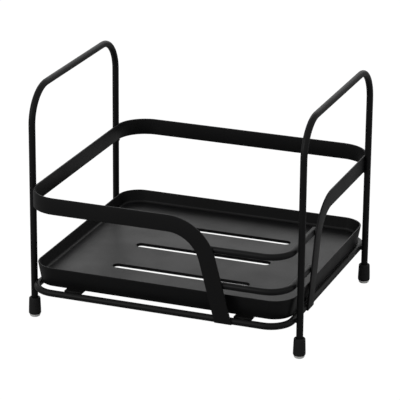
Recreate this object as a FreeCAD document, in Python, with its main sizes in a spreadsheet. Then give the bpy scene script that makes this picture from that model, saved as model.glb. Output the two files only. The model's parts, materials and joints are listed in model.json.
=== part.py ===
import FreeCAD, Part
import math
import os

import Sketcher

# Small dish drying rack: two rod hoops with rubber feet carry a flat guard band,
# a base ring, two corner wires and two cross bars, and a drip tray slides in
# from the rear on the cross bars. Millimetres, +Z up, -Y the front, +X the right.
# The origin is on the ground, under the middle of the rack.

doc = FreeCAD.newDocument("DishRack")
NEARLY_ZERO = 1e-6

# ---------------------------------------------------------------- driving sizes
SIZES = [
    ("rack_width", 252.0, "over the outer sides of the two hoops"),
    ("rack_depth", 238.0, "over the guard band, front to back"),
    ("rack_height", 210.0, "ground to the top of the hoops"),
    ("rod_dia", 6.0, "round rod of the hoops, ring and wires"),
    ("hoop_radius", 31.0, "bend of a hoop's upper corners, to the rod centre"),
    ("leg_inset", 26.5, "leg centre behind the outer face of the band"),
    ("leg_set", 1.0, "how deep a leg is seated in the band's outer face"),
    ("weld_gap", 0.1, "gap between a rod and a strip that a bead bridges"),
    ("band_height", 15.0, "guard band strip width"),
    ("band_thick", 1.5, "guard band strip thickness"),
    ("band_bottom", 107.5, "ground to the lower edge of the band"),
    ("band_radius", 28.5, "band corners, outer face"),
    ("end_radius", 30.0, "inner edge of the band's curved ends"),
    ("end_lean", 15.0, "lean of the band's ends from upright, degrees"),
    ("end_bottom", 31.3, "ground to the cut foot of the band's ends"),
    ("end_round", 1.2, "corner radius of the cut ends"),
    ("front_bend", 12.0, "where the front end starts to curve, from the middle"),
    ("side_bend", 5.8, "where the side end starts to curve, ahead of the middle"),
    ("ring_level", 33.3, "ground to the base ring's rod centre"),
    ("ring_radius", 20.0, "base ring and corner wire bends, to the rod centre"),
    ("wire_pitch", 31.1, "level step from the base ring to each corner wire"),
    ("wire_tuck", 9.0, "how far a wire's end reaches in behind the band's end"),
    ("bar_width", 16.0, "cross bar strip width"),
    ("bar_thick", 2.0, "cross bar strip thickness"),
    ("bar_inset", 38.9, "cross bar centre inside the ring's side run"),
    ("bar_rise", 0.3, "cross bar top above the ring's top"),
    ("tray_gap", 0.5, "tray rim to the inner face of the band's ends"),
    ("tray_inset", 9.5, "tray rim behind the outer face of the band"),
    ("tray_height", 17.8, "tray rim above its foot"),
    ("tray_taper", 3.2, "how far the tray's foot is inside its rim"),
    ("tray_radius", 20.6, "tray corners at the rim"),
    ("tray_sheet", 1.2, "tray sheet thickness"),
    ("floor_rise", 6.4, "tray floor's upper face above the tray's foot"),
    ("rim_round", 0.35, "rounding of the tray's rim"),
    ("slot_length", 128.0, "drain slot, end to end"),
    ("slot_width", 9.5, "drain slot"),
    ("slot_pitch", 54.6, "drain slot spacing"),
    ("slot_flat", 0.2, "straight bit between the two corners of a slot's end"),
    ("slot_lip", 1.6, "turned-down edge of a drain slot, under the floor"),
    ("pad_radius", 4.05, "foot pad"),
    ("pad_round", 1.6, "rounding under the foot pad"),
    ("pad_height", 3.0, "foot pad, half of it inside the cap"),
    ("cap_bottom", 1.7, "ground to the lower lip of a foot cap"),
    ("cap_web", 2.0, "cap thickness between the pad and the rod's end"),
    ("cap_height", 17.0, "foot cap, lip to top"),
    ("cap_lip", 0.8, "cap thickness round the pad"),
    ("cap_wall", 1.55, "cap thickness round the rod, at its top"),
    ("cap_round", 0.7, "rounding of the cap's edges"),
    ("cap_fit", 0.15, "clearance round the rod and round the pad"),
    ("bead_radius", 2.3, "weld bead between two rods or a rod and the band"),
    ("bead_depth", 1.4, "bead centre behind a band end that it holds"),
    ("bead_drop", 0.6, "bead centre below the band's lower edge"),
    ("bar_bead_radius", 1.7, "weld bead under a cross bar's end"),
    ("cut_margin", 1.0, "how far a cut's outline stands clear of what it cuts"),
]

sheet = doc.addObject("Spreadsheet::Sheet", "Sizes")
for row, (alias, number, meaning) in enumerate(SIZES, start=1):
    sheet.set("A%d" % row, alias)
    sheet.set("B%d" % row, str(number))
    sheet.setAlias("B%d" % row, alias)
    sheet.set("C%d" % row, meaning)
doc.recompute()


def size(name):
    """Expression for one cell of the sheet."""
    return "Sizes." + name


# ------------------------------------------------------------- derived positions
# Each of these is an expression over the sheet, shared by all that line up on it.
ROD = "(%s / 2)" % size("rod_dia")
LEG_X = "(%s / 2 - %s)" % (size("rack_width"), ROD)
LEG_Y = "(%s / 2 - %s)" % (size("rack_depth"), size("leg_inset"))
HOOP_Z = "(%s - %s)" % (size("rack_height"), ROD)
BAND_X = "(%s - %s + %s)" % (LEG_X, ROD, size("leg_set"))
BAND_Y = "(%s / 2)" % size("rack_depth")
BAND_TOP = "(%s + %s)" % (size("band_bottom"), size("band_height"))
INNER_X = "(%s - %s)" % (BAND_X, size("band_thick"))
INNER_Y = "(%s - %s)" % (BAND_Y, size("band_thick"))
RING_X = "(%s - 2 * %s - %s)" % (LEG_X, ROD, size("weld_gap"))
RING_Y = "(%s - %s - %s)" % (INNER_Y, ROD, size("weld_gap"))
WIRE_X = "(%s - %s - %s)" % (INNER_X, ROD, size("weld_gap"))
END_CENTRE_Z = "(%s - %s)" % (size("band_bottom"), size("end_radius"))
END_OUTER = "(%s + %s)" % (size("end_radius"), size("band_height"))
BAR_TOP = "(%s + %s + %s)" % (size("ring_level"), ROD, size("bar_rise"))
BAR_DROP = "(%s - %s - %s)" % (BAR_TOP, size("bar_thick"), size("ring_level"))
BAR_HALF = "(%s - sqrt(%s ^ 2 - %s ^ 2) - %s)" % (RING_Y, ROD, BAR_DROP, size("weld_gap"))
BAR_X = "(%s - %s)" % (RING_X, size("bar_inset"))
CAP_TOP = "(%s + %s)" % (size("cap_bottom"), size("cap_height"))
ROD_FOOT = "(%s + %s)" % (size("pad_height"), size("cap_web"))
RIM_X = "(%s - %s)" % (INNER_X, size("tray_gap"))
RIM_Y = "(%s - %s)" % (BAND_Y, size("tray_inset"))
RIM_Z = "(%s + %s)" % (BAR_TOP, size("tray_height"))
FLOOR_TOP = "(%s + %s)" % (BAR_TOP, size("floor_rise"))
FLOOR_BOTTOM = "(%s - %s)" % (FLOOR_TOP, size("tray_sheet"))


def value(expression):
    """Number that an expression over the sheet has now."""
    return float(sheet.evalExpression(expression))


def negative(expression):
    """The same expression with its sign turned."""
    return "(0 - %s)" % expression


# ---------------------------------------------------------------- sketch helpers
def new_body(name):
    """Body whose name is also its label."""
    body = doc.addObject("PartDesign::Body", name)
    body.Label = name
    return body


def new_sketch(body, name, role, offset="0"):
    """Sketch on one of the body's origin planes, moved along its normal."""
    sketch = body.newObject("Sketcher::SketchObject", name)
    plane = [f for f in body.Origin.OriginFeatures if f.Role == role][0]
    sketch.AttachmentSupport = (plane, [""])
    sketch.MapMode = "FlatFace"
    sketch.setExpression("AttachmentOffset.Base.z", offset)
    doc.recompute()
    return sketch


def bind(sketch, kind, first, second, expression):
    """Signed distance from one point to another, held by an expression."""
    number = value(expression)
    if abs(number) < NEARLY_ZERO and first == (-1, 1):
        axis = -2 if kind == "DistanceX" else -1
        sketch.addConstraint(Sketcher.Constraint("PointOnObject", second[0], second[1], axis))
        return
    if number < 0:
        first, second, expression = second, first, negative(expression)
    index = sketch.addConstraint(Sketcher.Constraint(kind, *first, *second, abs(number)))
    sketch.setExpression("Constraints[%d]" % index, expression)


def bind_radius(sketch, geometry, expression):
    """Radius of an arc or circle, held by an expression."""
    index = sketch.addConstraint(Sketcher.Constraint("Radius", geometry, value(expression)))
    sketch.setExpression("Constraints[%d]" % index, expression)


def add_outline(sketch, corners, closed=True):
    """Straight runs through the given corners, with a tangent arc where a corner has a radius.

    A corner is (x, y) or (x, y, radius), each an expression. Every corner is a
    construction point bound to the sheet, and the runs are held on those points."""
    points = [FreeCAD.Vector(value(c[0]), value(c[1]), 0) for c in corners]
    count = len(corners)
    anchors = []
    for corner, point in zip(corners, points):
        anchor = sketch.addGeometry(Part.Point(point), True)
        bind(sketch, "DistanceX", (-1, 1), (anchor, 1), corner[0])
        bind(sketch, "DistanceY", (-1, 1), (anchor, 1), corner[1])
        anchors.append(anchor)

    def trim(index, other):
        """Where the run from corner index towards corner other starts."""
        if len(corners[index]) < 3:
            return points[index]
        before = (points[index - 1] - points[index]).normalize()
        after = (points[(index + 1) % count] - points[index]).normalize()
        length = value(corners[index][2]) / math.tan(before.getAngle(after) / 2)
        return points[index] + (points[other] - points[index]).normalize() * length

    runs = []
    last = count if closed else count - 1
    for index in range(last):
        after = (index + 1) % count
        run = sketch.addGeometry(Part.LineSegment(trim(index, after), trim(after, index)), False)
        for corner, end in ((index, 1), (after, 2)):
            if len(corners[corner]) < 3:
                held = Sketcher.Constraint("Coincident", anchors[corner], 1, run, end)
            else:
                held = Sketcher.Constraint("PointOnObject", anchors[corner], 1, run)
            sketch.addConstraint(held)
        runs.append(run)

    for index in range(0 if closed else 1, last):
        if len(corners[index]) < 3:
            continue
        before, after = runs[index - 1], runs[index]
        start = sketch.Geometry[before].EndPoint
        end = sketch.Geometry[after].StartPoint
        radius = value(corners[index][2])
        arc, arc_start, arc_end = add_corner_arc(sketch, points[index], start, end, radius)
        sketch.addConstraint(Sketcher.Constraint("Tangent", before, 2, arc, arc_start))
        sketch.addConstraint(Sketcher.Constraint("Tangent", arc, arc_end, after, 1))
        bind_radius(sketch, arc, corners[index][2])


def add_corner_arc(sketch, corner, start, end, radius):
    """Arc that rounds a corner, always anticlockwise; gives it and its ends in the run's order."""
    inward = ((start + end) * 0.5 - corner).normalize()
    centre = corner + inward * math.hypot((start - corner).Length, radius)
    left_turn = (corner - start).cross(end - corner).z > 0
    first, second = (start, end) if left_turn else (end, start)
    angles = [math.atan2(point.y - centre.y, point.x - centre.x) for point in (first, second)]
    if angles[1] < angles[0]:
        angles[1] += 2 * math.pi
    circle = Part.Circle(centre, FreeCAD.Vector(0, 0, 1), radius)
    arc = sketch.addGeometry(Part.ArcOfCircle(circle, angles[0], angles[1]), False)
    return (arc, 1, 2) if left_turn else (arc, 2, 1)


def rounded_rectangle(half_x, half_y, radius):
    """Corners of a rounded rectangle, from the middle of its front run."""
    return [
        ("0", negative(half_y)),
        (half_x, negative(half_y), radius),
        (half_x, half_y, radius),
        (negative(half_x), half_y, radius),
        (negative(half_x), negative(half_y), radius),
    ]


def add_circle(sketch, x, y, radius):
    """Circle whose centre and radius are held by expressions."""
    centre = FreeCAD.Vector(value(x), value(y), 0)
    circle = sketch.addGeometry(Part.Circle(centre, FreeCAD.Vector(0, 0, 1), value(radius)), False)
    bind(sketch, "DistanceX", (-1, 1), (circle, 3), x)
    bind(sketch, "DistanceY", (-1, 1), (circle, 3), y)
    bind_radius(sketch, circle, radius)


# --------------------------------------------------------------- feature helpers
def add_pad(body, name, sketch, length, reverse=False):
    """Raise a sketch into solid."""
    pad = body.newObject("PartDesign::Pad", name)
    pad.Profile = sketch
    pad.Reversed = reverse
    pad.setExpression("Length", length)
    doc.recompute()
    return pad


def add_pocket(body, name, sketch, length, reverse=False):
    """Cut a sketch into the body, and stop if nothing was cut."""
    before = body.Shape.Volume
    pocket = body.newObject("PartDesign::Pocket", name)
    pocket.Profile = sketch
    pocket.Reversed = reverse
    pocket.setExpression("Length", length)
    doc.recompute()
    if not body.Shape.Volume < before - NEARLY_ZERO:
        raise RuntimeError("%s cuts nothing from %s" % (name, body.Label))
    return pocket


def add_rod(body, path, section):
    """Round rod along a path sketch."""
    pipe = body.newObject("PartDesign::AdditivePipe", body.Label + "_rod")
    pipe.Profile = section
    pipe.Spine = path
    doc.recompute()
    return pipe


# ------------------------------------------------------------------------- hoops
def make_hoop(name, side):
    """Upside-down U of rod: two legs and a level bar, front to back."""
    body = new_body(name)
    leg_x = LEG_X if side > 0 else negative(LEG_X)
    path = new_sketch(body, name + "_path", "YZ_Plane", leg_x)
    add_outline(path, [
        (negative(LEG_Y), ROD_FOOT),
        (negative(LEG_Y), HOOP_Z, size("hoop_radius")),
        (LEG_Y, HOOP_Z, size("hoop_radius")),
        (LEG_Y, ROD_FOOT),
    ], closed=False)
    section = new_sketch(body, name + "_section", "XY_Plane", ROD_FOOT)
    add_circle(section, leg_x, negative(LEG_Y), ROD)
    add_rod(body, path, section)
    return body


left_hoop = make_hoop("left_hoop", -1)
right_hoop = make_hoop("right_hoop", 1)


# --------------------------------------------------------- base ring and wires
def make_base_ring():
    """Closed rounded rectangle of rod, inside the four legs."""
    body = new_body("base_ring")
    path = new_sketch(body, "base_ring_path", "XY_Plane", size("ring_level"))
    add_outline(path, rounded_rectangle(RING_X, RING_Y, size("ring_radius")))
    section = new_sketch(body, "base_ring_section", "YZ_Plane")
    add_circle(section, negative(RING_Y), size("ring_level"), ROD)
    add_rod(body, path, section)
    return body


def end_edge(radius, level):
    """Distance from a bend's start to the leaning edge of that radius, at a level."""
    lean = size("end_lean")
    return "(%s / cos(%s) + (%s - %s) * tan(%s))" % (radius, lean, END_CENTRE_Z, level, lean)


def curved_edge(radius, level):
    """The same distance at a level where the edge is still an arc."""
    return "sqrt(%s ^ 2 - (%s - %s) ^ 2)" % (radius, level, END_CENTRE_Z)


def wire_run(steps):
    """Level of a corner wire, and how far past the bend's start the band's edge is there."""
    level = "(%s + %d * %s)" % (size("ring_level"), steps, size("wire_pitch"))
    curved = value(level) > value(END_CENTRE_Z)
    edge = curved_edge(END_OUTER, level) if curved else end_edge(END_OUTER, level)
    return level, edge


def make_corner_wire(name, steps):
    """Rod round the open front right corner, from one end of the band to the other."""
    body = new_body(name)
    level, edge = wire_run(steps)
    front_x = "(%s + %s - %s)" % (size("front_bend"), edge, size("wire_tuck"))
    side_y = negative("(%s + %s - %s)" % (size("side_bend"), edge, size("wire_tuck")))
    path = new_sketch(body, name + "_path", "XY_Plane", level)
    add_outline(path, [
        (front_x, negative(RING_Y)),
        (WIRE_X, negative(RING_Y), size("ring_radius")),
        (WIRE_X, side_y),
    ], closed=False)
    section = new_sketch(body, name + "_section", "YZ_Plane", front_x)
    add_circle(section, negative(RING_Y), level, ROD)
    add_rod(body, path, section)
    return body


base_ring = make_base_ring()
lower_corner_wire = make_corner_wire("lower_corner_wire", 1)
upper_corner_wire = make_corner_wire("upper_corner_wire", 2)


# -------------------------------------------------------------------- guard band
def add_band_end(body, name, role, offset, bend, direction):
    """Flat end of the band: it bends down in its own plane and leans to the corner."""
    def along(distance):
        place = "(%s + %s)" % (bend, distance)
        return place if direction > 0 else negative(place)

    foot = size("end_bottom")
    overlap = negative(size("band_height"))
    sketch = new_sketch(body, name, role, offset)
    add_outline(sketch, [
        (along(overlap), BAND_TOP),
        (along(end_edge(END_OUTER, BAND_TOP)), BAND_TOP, END_OUTER),
        (along(end_edge(END_OUTER, foot)), foot, size("end_round")),
        (along(end_edge(size("end_radius"), foot)), foot, size("end_round")),
        (along(end_edge(size("end_radius"), size("band_bottom"))), size("band_bottom"), size("end_radius")),
        (along(overlap), size("band_bottom")),
    ])
    return add_pad(body, name + "_strip", sketch, size("band_thick"), reverse=True)


def make_guard_band():
    """Upright strip round the rack, open at the front right, where both ends bend down."""
    body = new_body("guard_band")
    loop = new_sketch(body, "band_loop", "XY_Plane", size("band_bottom"))
    add_outline(loop, rounded_rectangle(BAND_X, BAND_Y, size("band_radius")))
    inner_radius = "(%s - %s)" % (size("band_radius"), size("band_thick"))
    add_outline(loop, rounded_rectangle(INNER_X, INNER_Y, inner_radius))
    add_pad(body, "band_wall", loop, size("band_height"))

    through = "(%s + %s)" % (size("band_height"), size("cut_margin"))
    corner = new_sketch(body, "band_opening", "XY_Plane", BAND_TOP)
    side_start = negative(size("side_bend"))
    outside_x = "(%s + %s)" % (BAND_X, size("cut_margin"))
    outside_y = negative("(%s + %s)" % (BAND_Y, size("cut_margin")))
    add_outline(corner, [
        (size("front_bend"), outside_y),
        (outside_x, outside_y),
        (outside_x, side_start),
        (size("front_bend"), side_start),
    ])
    add_pocket(body, "open_corner", corner, through)

    add_band_end(body, "front_end", "XZ_Plane", BAND_Y, size("front_bend"), 1)
    add_band_end(body, "side_end", "YZ_Plane", BAND_X, size("side_bend"), -1)

    seats = new_sketch(body, "leg_seats", "XY_Plane", BAND_TOP)
    add_circle(seats, negative(LEG_X), negative(LEG_Y), ROD)
    add_circle(seats, negative(LEG_X), LEG_Y, ROD)
    add_circle(seats, LEG_X, LEG_Y, ROD)
    add_pocket(body, "leg_seat_cut", seats, through)
    ring_seat = new_sketch(body, "ring_seat", "XZ_Plane")
    add_circle(ring_seat, RING_X, size("ring_level"), ROD)
    side_run = "(%s - %s)" % (RING_Y, size("ring_radius"))
    add_pocket(body, "ring_seat_cut", ring_seat, side_run, reverse=True)
    return body


guard_band = make_guard_band()


# -------------------------------------------------------------------- cross bars
def make_cross_bar(name, side):
    """Flat strip front to back under the tray, between the ring's two long runs."""
    body = new_body(name)
    inner = "(%s - %s / 2)" % (BAR_X, size("bar_width"))
    outer = "(%s + %s / 2)" % (BAR_X, size("bar_width"))
    if side < 0:
        inner, outer = negative(outer), negative(inner)
    sketch = new_sketch(body, name + "_plan", "XY_Plane", "(%s - %s)" % (BAR_TOP, size("bar_thick")))
    add_outline(sketch, [
        (inner, negative(BAR_HALF)),
        (outer, negative(BAR_HALF)),
        (outer, BAR_HALF),
        (inner, BAR_HALF),
    ])
    add_pad(body, name + "_strip", sketch, size("bar_thick"))
    return body


left_cross_bar = make_cross_bar("left_cross_bar", -1)
right_cross_bar = make_cross_bar("right_cross_bar", 1)


# --------------------------------------------------------------------- drip tray
def tray_outline(body, name, level, inset):
    """Rounded rectangle of the tapered wall at a level, moved in by an inset."""
    taper = "(%s * (%s - %s) / %s)" % (size("tray_taper"), RIM_Z, level, size("tray_height"))
    sketch = new_sketch(body, name, "XY_Plane", level)
    half_x = "(%s - %s - %s)" % (RIM_X, taper, inset)
    half_y = "(%s - %s - %s)" % (RIM_Y, taper, inset)
    radius = "(%s - %s - %s)" % (size("tray_radius"), taper, inset)
    add_outline(sketch, rounded_rectangle(half_x, half_y, radius))
    return sketch


def add_loft(body, kind, name, bottom, top):
    """Tapered block from one outline to another, added or cut out."""
    loft = body.newObject("PartDesign::" + kind, name)
    loft.Profile = bottom
    loft.Sections = [top]
    doc.recompute()
    return loft


def edges_at_level(shape, level):
    """Names of the edges that lie wholly at one height."""
    names = []
    for index, edge in enumerate(shape.Edges, start=1):
        heights = [point.z for point in edge.discretize(3)]
        if all(abs(height - level) < NEARLY_ZERO for height in heights):
            names.append("Edge%d" % index)
    return names


def add_slot_outlines(sketch, spread):
    """The three drain slots, each outline moved out by a spread."""
    end = "(%s / 2 + %s)" % (size("slot_length"), spread)
    half = "(%s / 2 + %s)" % (size("slot_width"), spread)
    corner = "(%s - %s / 2)" % (half, size("slot_flat"))
    for row in (-1, 0, 1):
        front = "(%d * %s - %s)" % (row, size("slot_pitch"), half)
        rear = "(%d * %s + %s)" % (row, size("slot_pitch"), half)
        add_outline(sketch, [
            (negative(end), front, corner),
            (end, front, corner),
            (end, rear, corner),
            (negative(end), rear, corner),
        ])


def make_drip_tray():
    """Pressed tray: a tapered wall, and a raised floor with long lipped drain slots."""
    body = new_body("drip_tray")
    foot = tray_outline(body, "tray_foot", BAR_TOP, "0")
    rim = tray_outline(body, "tray_rim", RIM_Z, "0")
    add_loft(body, "AdditiveLoft", "tray_block", foot, rim)
    sheet_in = size("tray_sheet")
    floor = tray_outline(body, "tray_floor_line", FLOOR_TOP, sheet_in)
    mouth = tray_outline(body, "tray_mouth", RIM_Z, sheet_in)
    add_loft(body, "SubtractiveLoft", "tray_basin", floor, mouth)
    skirt = tray_outline(body, "tray_skirt_line", BAR_TOP, sheet_in)
    under = tray_outline(body, "tray_under_line", FLOOR_BOTTOM, sheet_in)
    add_loft(body, "SubtractiveLoft", "tray_underside", skirt, under)

    mid_floor = "(%s - %s / 2)" % (FLOOR_TOP, size("tray_sheet"))
    lips = new_sketch(body, "slot_lip_plan", "XY_Plane", mid_floor)
    add_slot_outlines(lips, size("tray_sheet"))
    add_pad(body, "slot_lips", lips, "(%s + %s / 2)" % (size("slot_lip"), size("tray_sheet")), reverse=True)
    above_floor = "(%s + %s)" % (FLOOR_TOP, size("cut_margin"))
    slots = new_sketch(body, "drain_slot_plan", "XY_Plane", above_floor)
    add_slot_outlines(slots, "0")
    cut = "(%s + %s + 2 * %s)" % (size("tray_sheet"), size("slot_lip"), size("cut_margin"))
    add_pocket(body, "drain_slots", slots, cut)

    rim_edges = (body.Tip, edges_at_level(body.Tip.Shape, value(RIM_Z)))
    rounding = body.newObject("PartDesign::Fillet", "rim_rounding")
    rounding.Base = rim_edges
    rounding.setExpression("Radius", size("rim_round"))
    doc.recompute()
    return body


drip_tray = make_drip_tray()


# -------------------------------------------------------------------------- feet
def add_revolved(body, corners):
    """Turn a half section about the vertical axis."""
    sketch = new_sketch(body, body.Label + "_section", "XZ_Plane")
    add_outline(sketch, corners)
    turned = body.newObject("PartDesign::Revolution", body.Label + "_turned")
    turned.Profile = sketch
    turned.ReferenceAxis = (sketch, ["V_Axis"])
    turned.Angle = 360
    doc.recompute()
    return turned


def place_at_leg(body, x_side, y_side):
    """Move a body that was turned about the origin to one leg's centre line."""
    body.setExpression("Placement.Base.x", LEG_X if x_side > 0 else negative(LEG_X))
    body.setExpression("Placement.Base.y", LEG_Y if y_side > 0 else negative(LEG_Y))
    doc.recompute()


def make_foot(corner, x_side, y_side):
    """Rubber cap pushed over the rod's end, and the hard pad set into its foot."""
    cap = new_body("foot_cap_" + corner)
    socket = "(%s + %s)" % (ROD, size("cap_fit"))
    recess = "(%s + %s)" % (size("pad_radius"), size("cap_fit"))
    lip_radius = "(%s + %s)" % (recess, size("cap_lip"))
    top_radius = "(%s + %s)" % (socket, size("cap_wall"))
    add_revolved(cap, [
        (recess, size("cap_bottom")),
        (lip_radius, size("cap_bottom"), "(%s / 2)" % size("cap_round")),
        (top_radius, CAP_TOP, size("cap_round")),
        (socket, CAP_TOP),
        (socket, ROD_FOOT),
        ("0", ROD_FOOT),
        ("0", size("pad_height")),
        (recess, size("pad_height")),
    ])
    place_at_leg(cap, x_side, y_side)
    pad = new_body("foot_pad_" + corner)
    add_revolved(pad, [
        ("0", "0"),
        (size("pad_radius"), "0", size("pad_round")),
        (size("pad_radius"), size("pad_height")),
        ("0", size("pad_height")),
    ])
    place_at_leg(pad, x_side, y_side)
    return [cap, pad]


feet = []
for corner, x_side, y_side in (
    ("front_left", -1, -1),
    ("front_right", 1, -1),
    ("rear_left", -1, 1),
    ("rear_right", 1, 1),
):
    feet += make_foot(corner, x_side, y_side)


# ------------------------------------------------------------------- weld beads
def make_beads(name, places, radius, joined, turn=0):
    """Group of weld beads: balls at the joints, less the metal that they join.

    The turn about Y puts a ball's two poles inside that metal."""
    balls = []
    for index, (x, y, z) in enumerate(places, start=1):
        ball = doc.addObject("Part::Sphere", "%s_ball_%d" % (name, index))
        ball.setExpression("Radius", radius)
        ball.setExpression("Placement.Base.x", x)
        ball.setExpression("Placement.Base.y", y)
        ball.setExpression("Placement.Base.z", z)
        ball.setExpression("Placement.Rotation.Angle", str(turn))
        ball.Placement.Rotation.Axis = FreeCAD.Vector(0, 1, 0)
        balls.append(ball)
    group = doc.addObject("Part::MultiFuse", name + "_balls")
    group.Shapes = balls
    metal = doc.addObject("Part::MultiFuse", name + "_metal")
    metal.Shapes = joined
    beads = doc.addObject("Part::Cut", name)
    beads.Base = group
    beads.Tool = metal
    beads.Label = name
    doc.recompute()
    return beads


def hoop_joints(side):
    """Both legs of a hoop on the ring, and those of its legs that stand on the band."""
    sign = "" if side > 0 else "0 - "
    on_ring = "(%s(%s + %s) / 2)" % (sign, RING_X, LEG_X)
    on_band = "(%s(%s - %s))" % (sign, LEG_X, ROD)
    under_band = "(%s - %s)" % (size("band_bottom"), size("bead_drop"))
    places = [(on_ring, negative(LEG_Y), size("ring_level")), (on_ring, LEG_Y, size("ring_level"))]
    places.append((on_band, LEG_Y, under_band))
    if side < 0:
        places.append((on_band, negative(LEG_Y), under_band))
    return places


def front_end_joint(level, reach):
    """Behind the band's front end, so far past its bend."""
    front_y = negative("(%s - %s)" % (INNER_Y, size("bead_depth")))
    return ("(%s + %s)" % (size("front_bend"), reach), front_y, level)


def side_end_joint(level, reach):
    """Behind the band's side end, so far past its bend."""
    side_x = "(%s - %s)" % (INNER_X, size("bead_depth"))
    return (side_x, negative("(%s + %s)" % (size("side_bend"), reach)), level)


def wire_joints(steps):
    """Both ends of a corner wire, in the middle of what is tucked behind the band."""
    level, edge = wire_run(steps)
    reach = "(%s - %s / 2)" % (edge, size("wire_tuck"))
    return [front_end_joint(level, reach), side_end_joint(level, reach)]


def ring_joints():
    """Two beads behind the front end; the side end is seated on the ring and needs none."""
    level = size("ring_level")
    inner, outer = end_edge(size("end_radius"), level), end_edge(END_OUTER, level)
    return [front_end_joint(level, "((2 * %s + %s) / 3)" % pair)
            for pair in ((inner, outer), (outer, inner))]


def bar_joints():
    """Under both ends of both cross bars."""
    bottom = "(%s - %s)" % (BAR_TOP, size("bar_thick"))
    return [(x, y, bottom)
            for x in (negative(BAR_X), BAR_X)
            for y in (negative(BAR_HALF), BAR_HALF)]


bead = size("bead_radius")
beads = [
    make_beads("hoop_welds_left", hoop_joints(-1), bead, [left_hoop, base_ring, guard_band], 90),
    make_beads("hoop_welds_right", hoop_joints(1), bead, [right_hoop, base_ring, guard_band], 90),
    make_beads("front_end_welds", ring_joints(), bead, [base_ring, guard_band]),
    make_beads("lower_wire_welds", wire_joints(1), bead, [lower_corner_wire, guard_band]),
    make_beads("upper_wire_welds", wire_joints(2), bead, [upper_corner_wire, guard_band]),
    make_beads("cross_bar_welds", bar_joints(), size("bar_bead_radius"),
               [left_cross_bar, right_cross_bar, base_ring]),
]


# ------------------------------------------------------------- check and export
nodes = [
    left_hoop, right_hoop, base_ring, guard_band, lower_corner_wire, upper_corner_wire,
    left_cross_bar, right_cross_bar, drip_tray,
] + feet + beads

doc.recompute()
for item in doc.Objects:
    if "Invalid" in item.State or "Error" in item.State:
        raise RuntimeError("%s did not recompute: %s" % (item.Name, item.State))
for node in nodes:
    if node.Shape.isNull() or not node.Shape.isValid() or not node.Shape.Solids:
        raise RuntimeError("%s has no valid solid" % node.Label)

os.makedirs("parts", exist_ok=True)
for node in nodes:
    node.Shape.exportStep("parts/%s.step" % node.Label)
    print("%-24s %2d solid(s) %10.1f mm3" % (node.Label, len(node.Shape.Solids), node.Shape.Volume))
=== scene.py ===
import json
import math

import bmesh
import bpy
from bpy.props import FloatProperty, FloatVectorProperty, IntProperty, PointerProperty
from mathutils import Matrix, Vector, noise

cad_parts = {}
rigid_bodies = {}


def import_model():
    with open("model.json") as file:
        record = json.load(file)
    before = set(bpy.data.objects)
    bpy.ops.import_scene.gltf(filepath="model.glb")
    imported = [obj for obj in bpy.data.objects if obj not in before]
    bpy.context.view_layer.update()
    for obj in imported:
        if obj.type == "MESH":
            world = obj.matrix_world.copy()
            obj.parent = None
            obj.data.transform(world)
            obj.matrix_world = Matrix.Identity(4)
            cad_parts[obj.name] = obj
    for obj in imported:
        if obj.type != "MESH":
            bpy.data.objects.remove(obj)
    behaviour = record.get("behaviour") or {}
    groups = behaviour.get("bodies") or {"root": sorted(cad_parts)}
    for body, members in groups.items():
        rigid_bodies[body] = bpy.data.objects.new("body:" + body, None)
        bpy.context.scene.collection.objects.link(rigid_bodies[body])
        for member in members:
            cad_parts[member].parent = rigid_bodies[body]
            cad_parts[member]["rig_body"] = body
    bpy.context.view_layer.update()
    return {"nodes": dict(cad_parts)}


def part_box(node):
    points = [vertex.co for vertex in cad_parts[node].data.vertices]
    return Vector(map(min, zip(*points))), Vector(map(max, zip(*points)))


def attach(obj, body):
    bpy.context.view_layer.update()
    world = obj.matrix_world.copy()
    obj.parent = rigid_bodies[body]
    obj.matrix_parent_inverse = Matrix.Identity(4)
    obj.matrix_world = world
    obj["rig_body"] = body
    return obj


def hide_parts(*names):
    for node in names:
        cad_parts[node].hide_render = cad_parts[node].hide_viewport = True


bl_info = {
    "name": "Dish Drying Rack",
    "version": (1, 0, 0),
    "blender": (4, 5, 0),
    "location": "View3D > Sidebar > Rack",
    "description": "Builds the coated steel, rubber and trim of a small dish drying rack",
    "category": "Object",
}

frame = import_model()

UP, RIGHT, REAR = Vector((0, 0, 1)), Vector((1, 0, 0)), Vector((0, 1, 0))
HOOPS = ("left_hoop", "right_hoop")
WIRES = ("lower_corner_wire", "upper_corner_wire")
BARS = ("left_cross_bar", "right_cross_bar")

QUARTER = math.pi / 2
SOFT_ANGLE = math.radians(12)   # the skin turns by more than this along a rounded edge
SHARP_ANGLE = 38.0              # degrees, past which shading shows an edge
MERGE_DISTANCE = 2e-6
LEVEL_MARGIN = 1e-5             # faces this near to a level lie on it
END_FLAT = 1e-4                 # half of the short flat left at a slot's round end
SLOT_ROWS = (-1, 0, 1)
END_BEADS = (0.0058, 0.0110)    # beads in from the edge of the band's front end

# How a weld bead is stretched on each axis, by where it lies.
ROUND_BEAD = Vector((1, 1, 1))
RING_BEAD = Vector((0.7, 1.1, 0.9))
BAND_BEAD = Vector((0.4, 0.7, 0.5))
BAR_BEAD = Vector((1.6, 0.7, 0.7))
SEATING = 0.0012                # middle of a small bead behind the face of the band


# ------------------------------------------------------------------- properties
def length(name, default, description, most=1.0):
    """A length in metres that is never negative."""
    return FloatProperty(name=name, default=default, description=description,
                         min=0.0, max=most, precision=5, subtype="DISTANCE", unit="LENGTH")


def share(name, default, description):
    """A number from 0 to 1."""
    return FloatProperty(name=name, default=default, description=description,
                         min=0.0, max=1.0, subtype="FACTOR")


def angle(name, degrees, description):
    """An angle, given in degrees and kept in radians."""
    return FloatProperty(name=name, default=math.radians(degrees), description=description,
                         min=-math.tau, max=math.tau, subtype="ANGLE", unit="ROTATION")


def colour(name, default, description):
    """A linear colour."""
    return FloatVectorProperty(name=name, default=default, description=description,
                               size=3, min=0.0, max=1.0, subtype="COLOR")


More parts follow.
